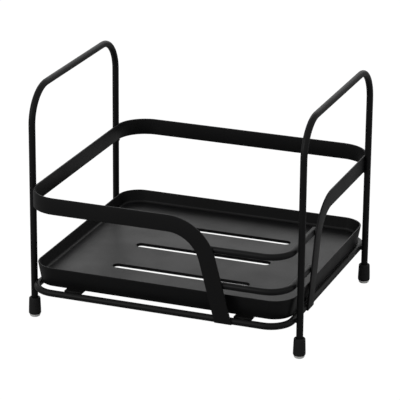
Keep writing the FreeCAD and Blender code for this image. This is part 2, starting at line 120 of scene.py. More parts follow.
class RackSizes(bpy.types.PropertyGroup):
    """Sizes that the bounding boxes of the frame's nodes don't give."""

    rod_sides: IntProperty(name="Rod Sides", default=32, min=8, max=96,
                           description="Faces round a rod")
    bend_steps: IntProperty(name="Bend Steps", default=20, min=4, max=64,
                            description="Faces along a quarter bend")
    hoop_bend: length("Hoop Bend", 0.031, "Bend of a hoop, to the rod's centre")
    ring_bend: length("Ring Bend", 0.020, "Bend of the base ring and corner wires")
    tip_round: length("Tip Round", 0.0005, "Rounding of a cut rod's end")
    band_height: length("Band Height", 0.015, "Guard strip width")
    band_thick: length("Band Thickness", 0.0015, "Guard strip thickness")
    band_edge: length("Band Edge", 0.00042, "Rounding along the strip's edges")
    band_corner: length("Band Corner", 0.0285, "Bend of the band's corners, outer face")
    band_bottom: length("Band Bottom", 0.1075, "Ground to the band's lower edge")
    end_bend: length("End Bend", 0.030, "Inner edge of the band's curved ends")
    end_lean: angle("End Lean", 15.0, "Lean of the band's ends from upright")
    front_bend: length("Front Bend", 0.012, "Where the front end starts to curve")
    side_bend: length("Side Bend", 0.0058, "Where the side end starts to curve")
    bar_edge: length("Bar Edge", 0.0004, "Rounding of the cross bars' edges")
    tray_sheet: length("Tray Sheet", 0.0012, "Tray sheet thickness")
    tray_taper: length("Tray Taper", 0.0032, "Tray foot inside its rim")
    tray_corner: length("Tray Corner", 0.0206, "Tray corners at the rim")
    floor_rise: length("Floor Rise", 0.0064, "Tray floor above the tray's foot")
    floor_crease: length("Floor Crease", 0.0022, "Inner radius where floor meets wall")
    rim_round: length("Rim Round", 0.0005, "Rounding of the tray's rim")
    slot_length: length("Slot Length", 0.128, "Drain slot, end to end")
    slot_width: length("Slot Width", 0.0095, "Drain slot width")
    slot_pitch: length("Slot Pitch", 0.0546, "Drain slot spacing")
    slot_edge: length("Slot Edge", 0.00015, "Softened edge of a drain slot")
    slot_lip: length("Slot Lip", 0.0016, "Turned-down edge of a slot, under the floor")
    cap_round: length("Cap Round", 0.0010, "Shoulder of a foot cap")
    cap_narrow: share("Cap Narrowing", 0.91, "Cap's width at its shoulder, as a share of its lip")
    lip_in: length("Lip In", 0.0011, "How far the cap's lower lip curls in")
    lip_up: length("Lip Up", 0.0018, "Height over which the cap's lower lip curls in")
    cap_swell: length("Cap Swell", 0.0005, "How far the soft cap swells beyond its core")
    cap_drop: length("Cap Drop", 0.0009, "Soft cap's top below its core's")
    cap_lift: length("Cap Lift", 0.0005, "Soft cap's edge above its core's, where the pad shows")
    pad_spread: length("Pad Spread", 0.0009, "How far the pad spreads under the cap's edge")
    pad_flat: share("Pad Flat", 0.72, "Flat of the pad, as a share of its radius")
    weld_reach: length("Weld Reach", 0.0023, "How far a weld bead spreads")
    wire_tuck: length("Wire Tuck", 0.0045, "A wire's bead in from the wire's end")


class RackFinish(bpy.types.PropertyGroup):
    """Colours and surface of the rack's finishes."""

    coat: colour("Powder Coat", (0.0062, 0.0062, 0.0065), "Black powder coat")
    # The thin coat colour is paler than the coat: thinning on rounded edges, and also a painted
    # highlight along them.
    thin_coat_highlight: colour("Thin Coat Highlight", (0.030, 0.030, 0.031), "Coat where it runs thin on an edge, painted paler as a highlight")
    dust: colour("Dust", (0.25, 0.24, 0.23), "Dust that lies on the coat")
    coat_roughness: share("Coat Roughness", 0.40, "Satin of the rods and the band")
    tray_roughness: share("Tray Roughness", 0.36, "Satin of the tray")
    coat_gloss: share("Coat Gloss", 0.20, "Reflection of the coat seen straight on")
    orange_peel: length("Orange Peel", 0.00070, "Width of the ripples in the coat")
    rubber: colour("Rubber", (0.0062, 0.0062, 0.0064), "Black rubber")
    rubber_gloss: share("Rubber Gloss", 0.35, "Reflection of the rubber seen straight on")
    pad: colour("Foot Pad", (0.88, 0.88, 0.86), "Light grey foot pad")
    pad_scuff: colour("Pad Scuff", (0.20, 0.20, 0.19), "Scuffs and dust low on the feet")
    pad_gloss: share("Pad Gloss", 0.5, "Reflection of the pads seen straight on")


class RackView(bpy.types.PropertyGroup):
    """Camera and studio."""

    azimuth: angle("Azimuth", 20.74, "Camera round to the right of the front")
    elevation: angle("Elevation", 19.86, "Camera above the horizon")
    roll: angle("Roll", 0.48, "Camera turned about its line of sight")
    distance: length("Distance", 2.109, "Camera to its target", 10.0)
    focal: FloatProperty(name="Focal Length", default=213.9, min=10, max=600,
                         description="Lens on a 36 mm sensor", subtype="DISTANCE_CAMERA")
    target_left: length("Target Left", 0.0032, "Camera's target left of the middle")
    target_height: length("Target Height", 0.0937, "Camera's target above the ground")
    floor_size: length("Floor Size", 16.0, "Side of the pale floor", 50.0)
    glow: FloatProperty(name="Glow", default=0.50, min=0, max=5,
                        description="Brightness of the even studio surround")
    floor_colour: colour("Floor", (0.42, 0.42, 0.42), "Bounce of the pale floor onto the rack")
    floor_shade: share("Floor Shade", 0.05, "How far shadows darken the pale floor")


# --------------------------------------------------------------------- finishes
def shader_group(name, inputs, outputs):
    """Empty shader group with named sockets, each (name, kind, default)."""
    group = bpy.data.node_groups.new(name, "ShaderNodeTree")
    for label, kind, default in inputs:
        socket = group.interface.new_socket(name=label, in_out="INPUT", socket_type=kind)
        socket.default_value = default
    for label, kind in outputs:
        group.interface.new_socket(name=label, in_out="OUTPUT", socket_type=kind)
    source = group.nodes.new("NodeGroupInput")
    result = group.nodes.new("NodeGroupOutput")
    return group, source.outputs, result.inputs


def add_node(tree, kind, settings=None, values=None, links=None):
    """Node with its settings, socket values and incoming links."""
    node = tree.nodes.new("ShaderNode" + kind)
    for name, setting in (settings or {}).items():
        setattr(node, name, setting)
    for socket, number in (values or {}).items():
        node.inputs[socket].default_value = number
    for socket, source in (links or {}).items():
        tree.links.new(source, node.inputs[socket])
    return node


def math_node(tree, operation, first, second):
    """Two numbers or sockets put through one operation."""
    node = add_node(tree, "Math", {"operation": operation})
    for index, given in enumerate((first, second)):
        if isinstance(given, (int, float)):
            node.inputs[index].default_value = given
        else:
            tree.links.new(given, node.inputs[index])
    return node.outputs[0]


def smooth_range(tree, source, low, high, start, end):
    """Smoothly maps low..high of a socket to start..end."""
    node = add_node(tree, "MapRange", {"interpolation_type": "SMOOTHSTEP"},
                    {"From Min": low, "From Max": high, "To Min": start, "To Max": end},
                    {"Value": source})
    return node.outputs["Result"]


def mixed_colour(tree, mask, under, over):
    """Two colours or sockets mixed by a mask."""
    blend = add_node(tree, "Mix", {"data_type": "RGBA"}, links={"Factor": mask})
    for label, given in (("A", under), ("B", over)):
        if isinstance(given, bpy.types.NodeSocket):
            tree.links.new(given, blend.inputs[label])
        else:
            blend.inputs[label].default_value = given
    return blend.outputs["Result"]


def opaque(values, alpha=1.0):
    """Three colour values with their alpha."""
    return (*values, alpha)


def coat_grain_group():
    """Ripples and fine pits of a baked powder coat, and how they change its satin."""
    group, given, made = shader_group(
        "Coat Grain",
        [("Ripple Width", "NodeSocketFloat", 0.0007), ("Satin", "NodeSocketFloat", 0.4),
         ("Pitting", "NodeSocketFloat", 0.3)],
        [("Height", "NodeSocketFloat"), ("Roughness", "NodeSocketFloat")],
    )
    place = add_node(group, "TexCoord").outputs["Object"]
    per_metre = math_node(group, "DIVIDE", 1.0, given["Ripple Width"])
    ripple = add_node(group, "TexNoise", values={"Detail": 2.0, "Roughness": 0.45},
                      links={"Vector": place, "Scale": per_metre}).outputs["Fac"]
    finer = math_node(group, "MULTIPLY", per_metre, 2.6)
    pits = add_node(group, "TexVoronoi", values={"Randomness": 1.0},
                    links={"Vector": place, "Scale": finer}).outputs["Distance"]
    pit_depth = math_node(group, "MULTIPLY", smooth_range(group, pits, 0.0, 0.28, -1.0, 0.0),
                          given["Pitting"])
    height = math_node(group, "ADD", ripple, pit_depth)
    cloud = add_node(group, "TexNoise", values={"Scale": 26.0, "Detail": 4.0},
                     links={"Vector": place}).outputs["Fac"]
    drift = smooth_range(group, cloud, 0.32, 0.68, -0.035, 0.035)
    speckle = math_node(group, "MULTIPLY", ripple, 0.05)
    satin = math_node(group, "ADD", given["Satin"], drift)
    group.links.new(height, made["Height"])
    group.links.new(math_node(group, "ADD", satin, speckle), made["Roughness"])
    return group


def edge_thin_highlight_group():
    """Where the coat runs thin along an edge: a little paler, which also paints a highlight along the
    edge, and smoother.
    """
    group, given, made = shader_group(
        "Thin Edge Highlight",
        [("Colour", "NodeSocketColor", (0, 0, 0, 1)), ("Thin Highlight Colour", "NodeSocketColor", (0, 0, 0, 1)),
         ("Amount", "NodeSocketFloat", 0.5)],
        [("Colour", "NodeSocketColor"), ("Mask", "NodeSocketFloat")],
    )
    # the edge mask places the paler thin coat, a painted highlight along rounded edges
    edge = add_node(group, "Attribute", {"attribute_name": "edge"}).outputs["Fac"]
    place = add_node(group, "TexCoord").outputs["Object"]
    broken = add_node(group, "TexNoise", values={"Scale": 420.0, "Detail": 3.0},
                      links={"Vector": place}).outputs["Fac"]
    patch = smooth_range(group, broken, 0.35, 0.62, 0.35, 1.0)
    mask = math_node(group, "MULTIPLY", math_node(group, "MULTIPLY", edge, patch), given["Amount"])
    group.links.new(mixed_colour(group, mask, given["Colour"], given["Thin Highlight Colour"]), made["Colour"])
    group.links.new(mask, made["Mask"])
    return group


def dust_group():
    """Sparse dust that settles on faces turned up."""
    group, given, made = shader_group(
        "Settled Dust",
        [("Colour", "NodeSocketColor", (0, 0, 0, 1)), ("Dust", "NodeSocketColor", (0.3, 0.3, 0.3, 1)),
         ("Amount", "NodeSocketFloat", 0.02)],
        [("Colour", "NodeSocketColor")],
    )
    place = add_node(group, "TexCoord").outputs["Object"]
    facing = add_node(group, "NewGeometry").outputs["Normal"]
    upward = add_node(group, "SeparateXYZ", links={"Vector": facing}).outputs["Z"]
    fleck = add_node(group, "TexNoise", values={"Scale": 1500.0, "Detail": 1.0},
                     links={"Vector": place}).outputs["Fac"]
    drift = add_node(group, "TexNoise", values={"Scale": 18.0, "Detail": 3.0},
                     links={"Vector": place}).outputs["Fac"]
    lying = math_node(group, "MULTIPLY", smooth_range(group, upward, 0.3, 1.0, 0.0, 1.0),
                      smooth_range(group, fleck, 0.5, 0.72, 0.15, 1.0))
    mask = math_node(group, "MULTIPLY", math_node(group, "MULTIPLY", lying, drift), given["Amount"])
    group.links.new(mixed_colour(group, mask, given["Colour"], given["Dust"]), made["Colour"])
    return group


def shared_group(name, build):
    """A node group by name, built the first time that it is asked for."""
    return bpy.data.node_groups.get(name) or build()


def add_group(tree, group, values=None, links=None):
    """One of the shared groups placed in a material."""
    return add_node(tree, "Group", {"node_tree": group}, values, links)


def new_material(name):
    """Material with its Principled shader and Output, and nothing else."""
    material = bpy.data.materials.new(name)
    material.use_nodes = True
    tree = material.node_tree
    tree.nodes.clear()
    shader = add_node(tree, "BsdfPrincipled")
    output = add_node(tree, "OutputMaterial")
    tree.links.new(shader.outputs["BSDF"], output.inputs["Surface"])
    return material, tree, shader


def powder_coat(name, satin, pitting, depth):
    """Satin black powder coat, thin and painted paler along the edges as a highlight, with a trace of
    dust.
    """
    existing = bpy.data.materials.get(name)
    if existing:
        return existing
    finish = bpy.context.scene.rack_finish
    material, tree, shader = new_material(name)
    # paler thin coat on rounded edges: partly coat thinning, partly a painted edge highlight
    thin_highlight = add_group(tree, shared_group("Thin Edge Highlight", edge_thin_highlight_group),
                     {"Colour": opaque(finish.coat), "Thin Highlight Colour": opaque(finish.thin_coat_highlight),
                      "Amount": 0.5})
    dust = add_group(tree, shared_group("Settled Dust", dust_group),
                     {"Dust": opaque(finish.dust), "Amount": 0.03},
                     {"Colour": thin_highlight.outputs["Colour"]})
    grain = add_group(tree, shared_group("Coat Grain", coat_grain_group),
                      {"Ripple Width": finish.orange_peel, "Satin": satin, "Pitting": pitting})
    smoother = math_node(tree, "MULTIPLY", thin_highlight.outputs["Mask"], 0.08)
    rough = math_node(tree, "SUBTRACT", grain.outputs["Roughness"], smoother)
    bump = add_node(tree, "Bump", values={"Strength": 0.22, "Distance": depth},
                    links={"Height": grain.outputs["Height"]})
    tree.links.new(dust.outputs["Colour"], shader.inputs["Base Color"])
    tree.links.new(rough, shader.inputs["Roughness"])
    tree.links.new(bump.outputs["Normal"], shader.inputs["Normal"])
    shader.inputs["Specular IOR Level"].default_value = finish.coat_gloss
    return material


def frame_coat():
    """Coat of the rods, strips and beads."""
    satin = bpy.context.scene.rack_finish.coat_roughness
    return powder_coat("frame_powder_coat", satin, pitting=0.25, depth=0.00005)


def tray_coat():
    """Coat of the tray, a little smoother than the frame's."""
    satin = bpy.context.scene.rack_finish.tray_roughness
    return powder_coat("tray_powder_coat", satin, pitting=0.30, depth=0.00004)


def foot_rubber():
    """Moulded rubber with a fine matt tooth and a faint bloom."""
    finish = bpy.context.scene.rack_finish
    material, tree, shader = new_material("moulded_rubber")
    place = add_node(tree, "TexCoord").outputs["Object"]
    tooth = add_node(tree, "TexNoise", values={"Scale": 5200.0, "Detail": 3.0},
                     links={"Vector": place}).outputs["Fac"]
    bloom = add_node(tree, "TexNoise", values={"Scale": 260.0, "Detail": 4.0},
                     links={"Vector": place}).outputs["Fac"]
    bloomed = [min(1.0, 2.2 * part) for part in finish.rubber]
    mottled = mixed_colour(tree, smooth_range(tree, bloom, 0.35, 0.70, 0.0, 0.55),
                           opaque(finish.rubber), opaque(bloomed))
    dust = add_group(tree, shared_group("Settled Dust", dust_group),
                     {"Dust": opaque(finish.pad_scuff), "Amount": 0.06}, {"Colour": mottled})
    bump = add_node(tree, "Bump", values={"Strength": 0.5, "Distance": 0.00004},
                    links={"Height": tooth})
    tree.links.new(dust.outputs["Colour"], shader.inputs["Base Color"])
    tree.links.new(smooth_range(tree, bloom, 0.3, 0.7, 0.62, 0.78), shader.inputs["Roughness"])
    tree.links.new(bump.outputs["Normal"], shader.inputs["Normal"])
    shader.inputs["Specular IOR Level"].default_value = finish.rubber_gloss
    return material


def pad_plastic():
    """Pale hard plastic of the pads, scuffed where it meets the ground."""
    finish = bpy.context.scene.rack_finish
    material, tree, shader = new_material("pad_plastic")
    place = add_node(tree, "TexCoord").outputs["Object"]
    mottle = add_node(tree, "TexNoise", values={"Scale": 480.0, "Detail": 4.0},
                      links={"Vector": place}).outputs["Fac"]
    level = add_node(tree, "SeparateXYZ", links={"Vector": place}).outputs["Z"]
    scuff = math_node(tree, "MULTIPLY", smooth_range(tree, level, 0.0, 0.0007, 1.0, 0.0),
                      smooth_range(tree, mottle, 0.4, 0.6, 0.2, 0.8))
    scuffed = mixed_colour(tree, scuff, opaque(finish.pad), opaque(finish.pad_scuff))
    tree.links.new(scuffed, shader.inputs["Base Color"])
    tree.links.new(smooth_range(tree, mottle, 0.3, 0.7, 0.30, 0.48), shader.inputs["Roughness"])
    shader.inputs["Specular IOR Level"].default_value = finish.pad_gloss
    return material


# ---------------------------------------------------------------- mesh helpers
def edges_of(geometry):
    """The edges among an operator's results."""
    return [part for part in geometry if isinstance(part, bmesh.types.BMEdge)]


def once(parts):
    """The parts in the order in which they first come, each once."""
    return list(dict.fromkeys(parts))


def verts_of(parts):
    """The vertices of some edges or faces, each once."""
    return once(vert for part in parts for vert in part.verts)


def rounded_rectangle(bm, wide, deep, radius, segments, place):
    """One face: a rectangle with rounded corners, laid flat and then placed."""
    made = bmesh.ops.create_grid(bm, x_segments=1, y_segments=1, size=0.5)["verts"]
    bmesh.ops.scale(bm, verts=made, vec=(wide, deep, 1))
    bmesh.ops.transform(bm, verts=made, matrix=place)
    rounded = bmesh.ops.bevel(bm, geom=made, offset=radius, segments=segments, profile=0.5,
                              affect="VERTICES", material=-1)
    return rounded["verts"][0].link_faces[0]


class Sweep:
    """A section pushed along a path of straight runs and bends, leaving its skin behind."""

    def __init__(self, bm, point, heading):
        self.bm, self.point, self.heading = bm, Vector(point), Vector(heading).normalized()
        self.edges, self.first = [], []

    def place(self):
        """Matrix that turns +Z to the heading and +Y as near to up as it goes."""
        across = self.heading.cross(UP)
        if across.length < 1e-6:
            across = RIGHT.copy()
        across.normalize()
        turned = Matrix((across, across.cross(self.heading) * -1, self.heading)).transposed()
        return Matrix.Translation(self.point) @ turned.to_4x4()

    def round_section(self, radius, sides):
        """Round section of a rod."""
        made = bmesh.ops.create_circle(self.bm, cap_ends=False, segments=sides,
                                       radius=radius, matrix=self.place())
        self.edges = once(edge for vert in made["verts"] for edge in vert.link_edges)
        self.first = self.edges
        return self

    def strip_section(self, thick, high, edge_radius):
        """Section of a flat strip on edge, its four edges rounded."""
        face = rounded_rectangle(self.bm, thick, high, edge_radius, 4, self.place())
        self.edges = list(face.edges)
        self.first = self.edges
        bmesh.ops.delete(self.bm, geom=[face], context="FACES_ONLY")
        return self

    def forward(self, distance):
        """Straight on."""
        made = bmesh.ops.extrude_edge_only(self.bm, edges=self.edges)["geom"]
        moved = [part for part in made if isinstance(part, bmesh.types.BMVert)]
        bmesh.ops.translate(self.bm, verts=moved, vec=self.heading * distance)
        ahead = set(moved)
        self.edges = [edge for edge in edges_of(made) if set(edge.verts) <= ahead]
        self.point = self.point + self.heading * distance
        return self

    def turn(self, towards, radius, angle=QUARTER, steps=20):
        """Round a bend whose centre lies towards one side."""
        towards = Vector(towards).normalized()
        centre = self.point + towards * radius
        axis = self.heading.cross(towards)
        made = bmesh.ops.spin(self.bm, geom=self.edges + verts_of(self.edges), cent=centre, axis=axis,
                              angle=angle, steps=steps, use_merge=False, use_duplicate=False)
        self.edges = edges_of(made["geom_last"])
        turned = Matrix.Rotation(angle, 3, axis)
        self.point = centre + turned @ (self.point - centre)
        self.heading = turned @ self.heading
        return self

    def cap(self, rounding):
        """Close both ends, and round the cut edges."""
        for edges in (self.first, self.edges):
            closed = bmesh.ops.edgeloop_fill(self.bm, edges=edges)["faces"]
            rim = [edge for face in closed for edge in face.edges]
            bmesh.ops.bevel(self.bm, geom=rim, offset=rounding, segments=3, profile=0.5,
                            affect="EDGES", material=-1)


def mark_edges(bm, above=-math.inf):
    """Sets the edge attribute to 1 along the rounded edges above a level, and to 0 elsewhere; these
    edges get the paler thin coat, a painted highlight.
    """
    highlit_verts = {vert for vert in curved_verts(bm) if vert.co.z > above}
    layer = bm.verts.layers.float.new("edge")
    for vert in bm.verts:
        vert[layer] = 1.0 if vert in highlit_verts else 0.0


def curved_verts(bm):
    """Vertices along rounded edges, where the skin turns by a part of a small radius."""
    found = set()
    for edge in bm.edges:
        if len(edge.link_faces) == 2 and edge.calc_face_angle(0.0) > SOFT_ANGLE:
            found.update(edge.verts)
    return found


def finish_piece(bm, node, ending, material, sharp_angle=SHARP_ANGLE):
    """Turn a bmesh into a piece that stands for one CAD node and rides on that node's body."""
    name = node + ending
    bmesh.ops.remove_doubles(bm, verts=bm.verts, dist=MERGE_DISTANCE)
    bmesh.ops.recalc_face_normals(bm, faces=bm.faces)
    for face in bm.faces:
        face.smooth = True
    mesh = bpy.data.meshes.new(name)
    bm.to_mesh(mesh)
    bm.free()
    mesh.set_sharp_from_angle(angle=math.radians(sharp_angle))
    mesh.materials.append(material)
    piece = bpy.data.objects.new(name, mesh)
    bpy.context.scene.collection.objects.link(piece)
    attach(piece, frame["nodes"][node]["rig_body"])
    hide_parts(node)
    return piece


def quarter_turn(steps):
    """Angle after each of the equal steps of a quarter circle, with the one before it."""
    for index in range(steps):
        yield QUARTER * index / steps, QUARTER * (index + 1) / steps


def rod_box(node, across):
    """Box of a piece bent from rod, and the rod's radius from the box's size on one axis."""
    low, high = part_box(node)
    radius = (high[across] - low[across]) / 2
    return low, high, radius


def leg_places():
    """Centre line of each leg, by the name of its foot."""
    places = {}
    for side, node in zip(("left", "right"), HOOPS):
        low, high, radius = rod_box(node, 0)
        x = (low.x + high.x) / 2
        places["front_" + side] = Vector((x, low.y + radius, low.z))
        places["rear_" + side] = Vector((x, high.y - radius, low.z))
    return places


# -------------------------------------------------------------------- operators
class RACK_OT_hoops(bpy.types.Operator):
    """Bend the two side hoops out of coated rod"""

    bl_idname = "rack.hoops"
    bl_label = "Side Hoops"

    def execute(self, context):
        sizes = context.scene.rack_sizes
        for node in HOOPS:
            low, high, radius = rod_box(node, 0)
            bend = sizes.hoop_bend
            start = Vector(((low.x + high.x) / 2, low.y + radius, low.z))
            rise = high.z - radius - bend - low.z
            across = high.y - low.y - 2 * radius - 2 * bend
            bm = bmesh.new()
            sweep = Sweep(bm, start, UP).round_section(radius, sizes.rod_sides)
            sweep.forward(rise).turn(REAR, bend, steps=sizes.bend_steps)
            sweep.forward(across).turn(-UP, bend, steps=sizes.bend_steps)
            sweep.forward(rise).cap(sizes.tip_round)
            finish_piece(bm, node, "_rod", frame_coat())
        return {"FINISHED"}


class RACK_OT_base_ring(bpy.types.Operator):
    """Bend the closed base ring out of coated rod"""

    bl_idname = "rack.base_ring"
    bl_label = "Base Ring"

    def execute(self, context):
        sizes = context.scene.rack_sizes
        low, high, radius = rod_box("base_ring", 2)
        bend = sizes.ring_bend
        wide = high.x - low.x - 2 * radius - 2 * bend
        deep = high.y - low.y - 2 * radius - 2 * bend
        start = Vector((low.x + radius + bend, low.y + radius, (low.z + high.z) / 2))
        bm = bmesh.new()
        sweep = Sweep(bm, start, RIGHT).round_section(radius, sizes.rod_sides)
        for towards, run in ((REAR, wide), (-RIGHT, deep), (-REAR, wide), (RIGHT, deep)):
            sweep.forward(run).turn(towards, bend, steps=sizes.bend_steps)
        finish_piece(bm, "base_ring", "_rod", frame_coat())
        return {"FINISHED"}


class RACK_OT_corner_wires(bpy.types.Operator):
    """Bend the two wires that guard the open corner"""

    bl_idname = "rack.corner_wires"
    bl_label = "Corner Wires"

    def execute(self, context):
        sizes = context.scene.rack_sizes
        for node in WIRES:
            low, high, radius = rod_box(node, 2)
            bend = sizes.ring_bend
            start = Vector((low.x, low.y + radius, (low.z + high.z) / 2))
            bm = bmesh.new()
            sweep = Sweep(bm, start, RIGHT).round_section(radius, sizes.rod_sides)
            sweep.forward(high.x - radius - bend - low.x)
            sweep.turn(REAR, bend, steps=sizes.bend_steps)
            sweep.forward(high.y - low.y - radius - bend).cap(sizes.tip_round)
            finish_piece(bm, node, "_rod", frame_coat())
        return {"FINISHED"}


class RACK_OT_guard_band(bpy.types.Operator):
    """Bend the guard band out of flat strip, with both ends curved down in their own plane"""

    bl_idname = "rack.guard_band"
    bl_label = "Guard Band"

    def execute(self, context):
        sizes = context.scene.rack_sizes
        low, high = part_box("guard_band")
        half = sizes.band_thick / 2
        corner = sizes.band_corner - half
        left, right = low.x + half, high.x - half
        front, rear = low.y + half, high.y - half
        swing = QUARTER - sizes.end_lean
        reach = sizes.end_bend + sizes.band_height / 2
        centre_z = sizes.band_bottom - sizes.end_bend
        outward = Vector((math.cos(sizes.end_lean), 0, math.sin(sizes.end_lean)))
        down = Vector((math.sin(sizes.end_lean), 0, -math.cos(sizes.end_lean)))
        # Each end runs on past the level of the cut, so that the whole of its section is cut.
        margin = sizes.band_height / 2
        drop = (centre_z + reach * outward.z - low.z + margin) / -down.z
        bend_centre = Vector((sizes.front_bend, front, centre_z))
        start = bend_centre + outward * reach + down * drop

        bm = bmesh.new()
        steps = sizes.bend_steps
        sweep = Sweep(bm, start, -down)
        sweep.strip_section(sizes.band_thick, sizes.band_height, sizes.band_edge)
        sweep.forward(drop).turn(-outward, reach, swing, steps)
        sweep.forward(sizes.front_bend - left - corner).turn(REAR, corner, steps=steps)
        sweep.forward(rear - front - 2 * corner).turn(RIGHT, corner, steps=steps)
        sweep.forward(right - left - 2 * corner).turn(-REAR, corner, steps=steps)
        sweep.forward(rear - corner + sizes.side_bend).turn(-UP, reach, swing, steps)
        sweep.forward(drop)
        self.cut_feet(bm, low.z, sizes)
        # the strip's rounded edges get the paler thin coat, a painted edge highlight
        mark_edges(bm)
        finish_piece(bm, "guard_band", "_strip", frame_coat())
        return {"FINISHED"}

    def cut_feet(self, bm, level, sizes):
        """Cut both ends off level, close them and round what was cut."""
        everything = bm.verts[:] + bm.edges[:] + bm.faces[:]
        cut = bmesh.ops.bisect_plane(bm, geom=everything, plane_co=(0, 0, level),
                                     plane_no=(0, 0, -1), clear_outer=True)["geom_cut"]
        closed = bmesh.ops.holes_fill(bm, edges=edges_of(cut), sides=0)["faces"]
        rim = once(edge for face in closed for edge in face.edges)
        bmesh.ops.bevel(bm, geom=rim, offset=sizes.band_edge, segments=3, profile=0.5,
                        affect="EDGES", material=-1, clamp_overlap=True)


class RACK_OT_cross_bars(bpy.types.Operator):
    """Cut the two flat bars that carry the tray"""

    bl_idname = "rack.cross_bars"
    bl_label = "Cross Bars"

    def execute(self, context):
        sizes = context.scene.rack_sizes
        for node in BARS:
            low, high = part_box(node)
            bm = bmesh.new()
            made = bmesh.ops.create_cube(bm, size=1.0)["verts"]
            bmesh.ops.scale(bm, verts=made, vec=high - low)
            bmesh.ops.translate(bm, verts=made, vec=(low + high) / 2)
            bmesh.ops.bevel(bm, geom=bm.edges[:], offset=sizes.bar_edge, segments=3, profile=0.5,
                            affect="EDGES", material=-1)
            # the bar's rounded edges get the paler thin coat, a painted edge highlight
            mark_edges(bm)
            finish_piece(bm, node, "_strip", frame_coat())
        return {"FINISHED"}


class RACK_OT_drip_tray(bpy.types.Operator):
    """Press the drip tray: flared wall, raised floor and drain slots"""

    bl_idname = "rack.drip_tray"
    bl_label = "Drip Tray"

    def execute(self, context):
        sizes = context.scene.rack_sizes
        low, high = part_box("drip_tray")
        bm = bmesh.new()
        floor_top = low.z + sizes.floor_rise
        floor_bottom = floor_top - sizes.tray_sheet
        foot_face = self.foot_outline(bm, low, high, sizes)
        top_face = self.raise_wall(bm, foot_face, low, high, floor_top, sizes)
        self.open_underside(bm, floor_bottom - low.z, sizes)
        self.cut_slots(bm, top_face, floor_top, floor_bottom, sizes)
        # the rim's rounded edges get the paler thin coat, a painted rim highlight; the crease below is
        # left out
        mark_edges(bm, above=floor_top + 1.1 * sizes.floor_crease)
        tray = finish_piece(bm, "drip_tray", "_pressing", tray_coat())
        tray.modifiers.new("flat_floor", "WEIGHTED_NORMAL").keep_sharp = True
        return {"FINISHED"}

    def foot_outline(self, bm, low, high, sizes):
        """Rounded rectangle at the tray's foot, as one face."""
        foot = high - low - 2 * sizes.tray_taper * Vector((1, 1, 0))
        place = Matrix.Translation(((low.x + high.x) / 2, (low.y + high.y) / 2, low.z))
        return rounded_rectangle(bm, foot.x, foot.y, sizes.tray_corner - sizes.tray_taper,
                                 sizes.bend_steps, place)

    def step(self, bm, face, inward, upward):
        """One more ring of wall: the outline moves in or out and up or down."""
        bmesh.ops.inset_region(bm, faces=[face], thickness=inward, depth=upward,
                               use_even_offset=True, use_boundary=True)

    def raise_wall(self, bm, face, low, high, floor_top, sizes):
        """Outer wall, rolled rim and inner wall, down to the floor; gives the floor's face."""
        tall = high.z - low.z
        lean = sizes.tray_taper / tall
        roll, sheet = sizes.rim_round, sizes.tray_sheet
        self.step(bm, face, -(tall - roll) * lean, tall - roll)
        self.round_over(bm, face, roll, 1)
        self.step(bm, face, sheet - 2 * roll, 0)
        self.round_over(bm, face, roll, -1)
        crease = sizes.floor_crease
        inner = high.z - roll - floor_top - crease
        self.step(bm, face, inner * lean, -inner)
        for before, after in quarter_turn(5):
            across = crease * (math.cos(before) - math.cos(after))
            self.step(bm, face, across, -crease * (math.sin(after) - math.sin(before)))
        return face

    def round_over(self, bm, face, radius, way):
        """Quarter round at the rim, going in over the top (1) or down the inside (-1)."""
        for before, after in quarter_turn(4):
            if way > 0:
                across = radius * (math.cos(before) - math.cos(after))
                upward = radius * (math.sin(after) - math.sin(before))
            else:
                across = radius * (math.sin(after) - math.sin(before))
                upward = -radius * (math.cos(before) - math.cos(after))
            self.step(bm, face, across, upward)

    def open_underside(self, bm, hollow, sizes):
        """Skirt's inner face and the underside of the floor, which stands above a hollow."""
        rim = [edge for edge in bm.edges if edge.is_boundary]
        bottom = bmesh.ops.edgeloop_fill(bm, edges=rim)["faces"][0]
        if bottom.normal.z > 0:
            bottom.normal_flip()
        self.step(bm, bottom, sizes.tray_sheet, 0)
        self.step(bm, bottom, 0, -hollow)

    def cut_slots(self, bm, top_face, floor_top, floor_bottom, sizes):
        """Three drain slots through the floor, each with its edge turned down."""
        underside = [face for face in bm.faces
                     if abs(face.calc_center_median().z - floor_bottom) < LEVEL_MARGIN]
        bottom_face = max(underside, key=lambda face: face.calc_area())
        lip_level = floor_bottom - sizes.slot_lip
        upper = self.pierce(bm, top_face, floor_top, 0.0, sizes)
        outer = self.pierce(bm, bottom_face, floor_bottom, sizes.tray_sheet, sizes)
        for row, top, skirt in zip(SLOT_ROWS, upper, outer):
            made = bmesh.ops.extrude_edge_only(bm, edges=skirt)["geom"]
            lowered = [part for part in made if isinstance(part, bmesh.types.BMVert)]
            bmesh.ops.translate(bm, verts=lowered, vec=-UP * sizes.slot_lip)
            below = set(lowered)
            skirt_foot = [edge for edge in edges_of(made) if set(edge.verts) <= below]
            inner = self.slot_outline(bm, row * sizes.slot_pitch, lip_level, 0.0, sizes)
            bmesh.ops.bridge_loops(bm, edges=skirt_foot + inner)
            bmesh.ops.bridge_loops(bm, edges=inner + top)
            bmesh.ops.bevel(bm, geom=top, offset=sizes.slot_edge, segments=2, profile=0.5,
                            affect="EDGES", material=-1)

    def pierce(self, bm, face, level, outset, sizes):
        """Replace a flat face by one with three slots in it; gives each slot's edges."""
        loop = list(face.edges)
        bmesh.ops.delete(bm, geom=[face], context="FACES_ONLY")
        outlines = [self.slot_outline(bm, row * sizes.slot_pitch, level, outset, sizes)
                    for row in SLOT_ROWS]
        holes = [edge for outline in outlines for edge in outline]
        bmesh.ops.triangle_fill(bm, use_beauty=True, use_dissolve=False, edges=loop + holes)
        return outlines

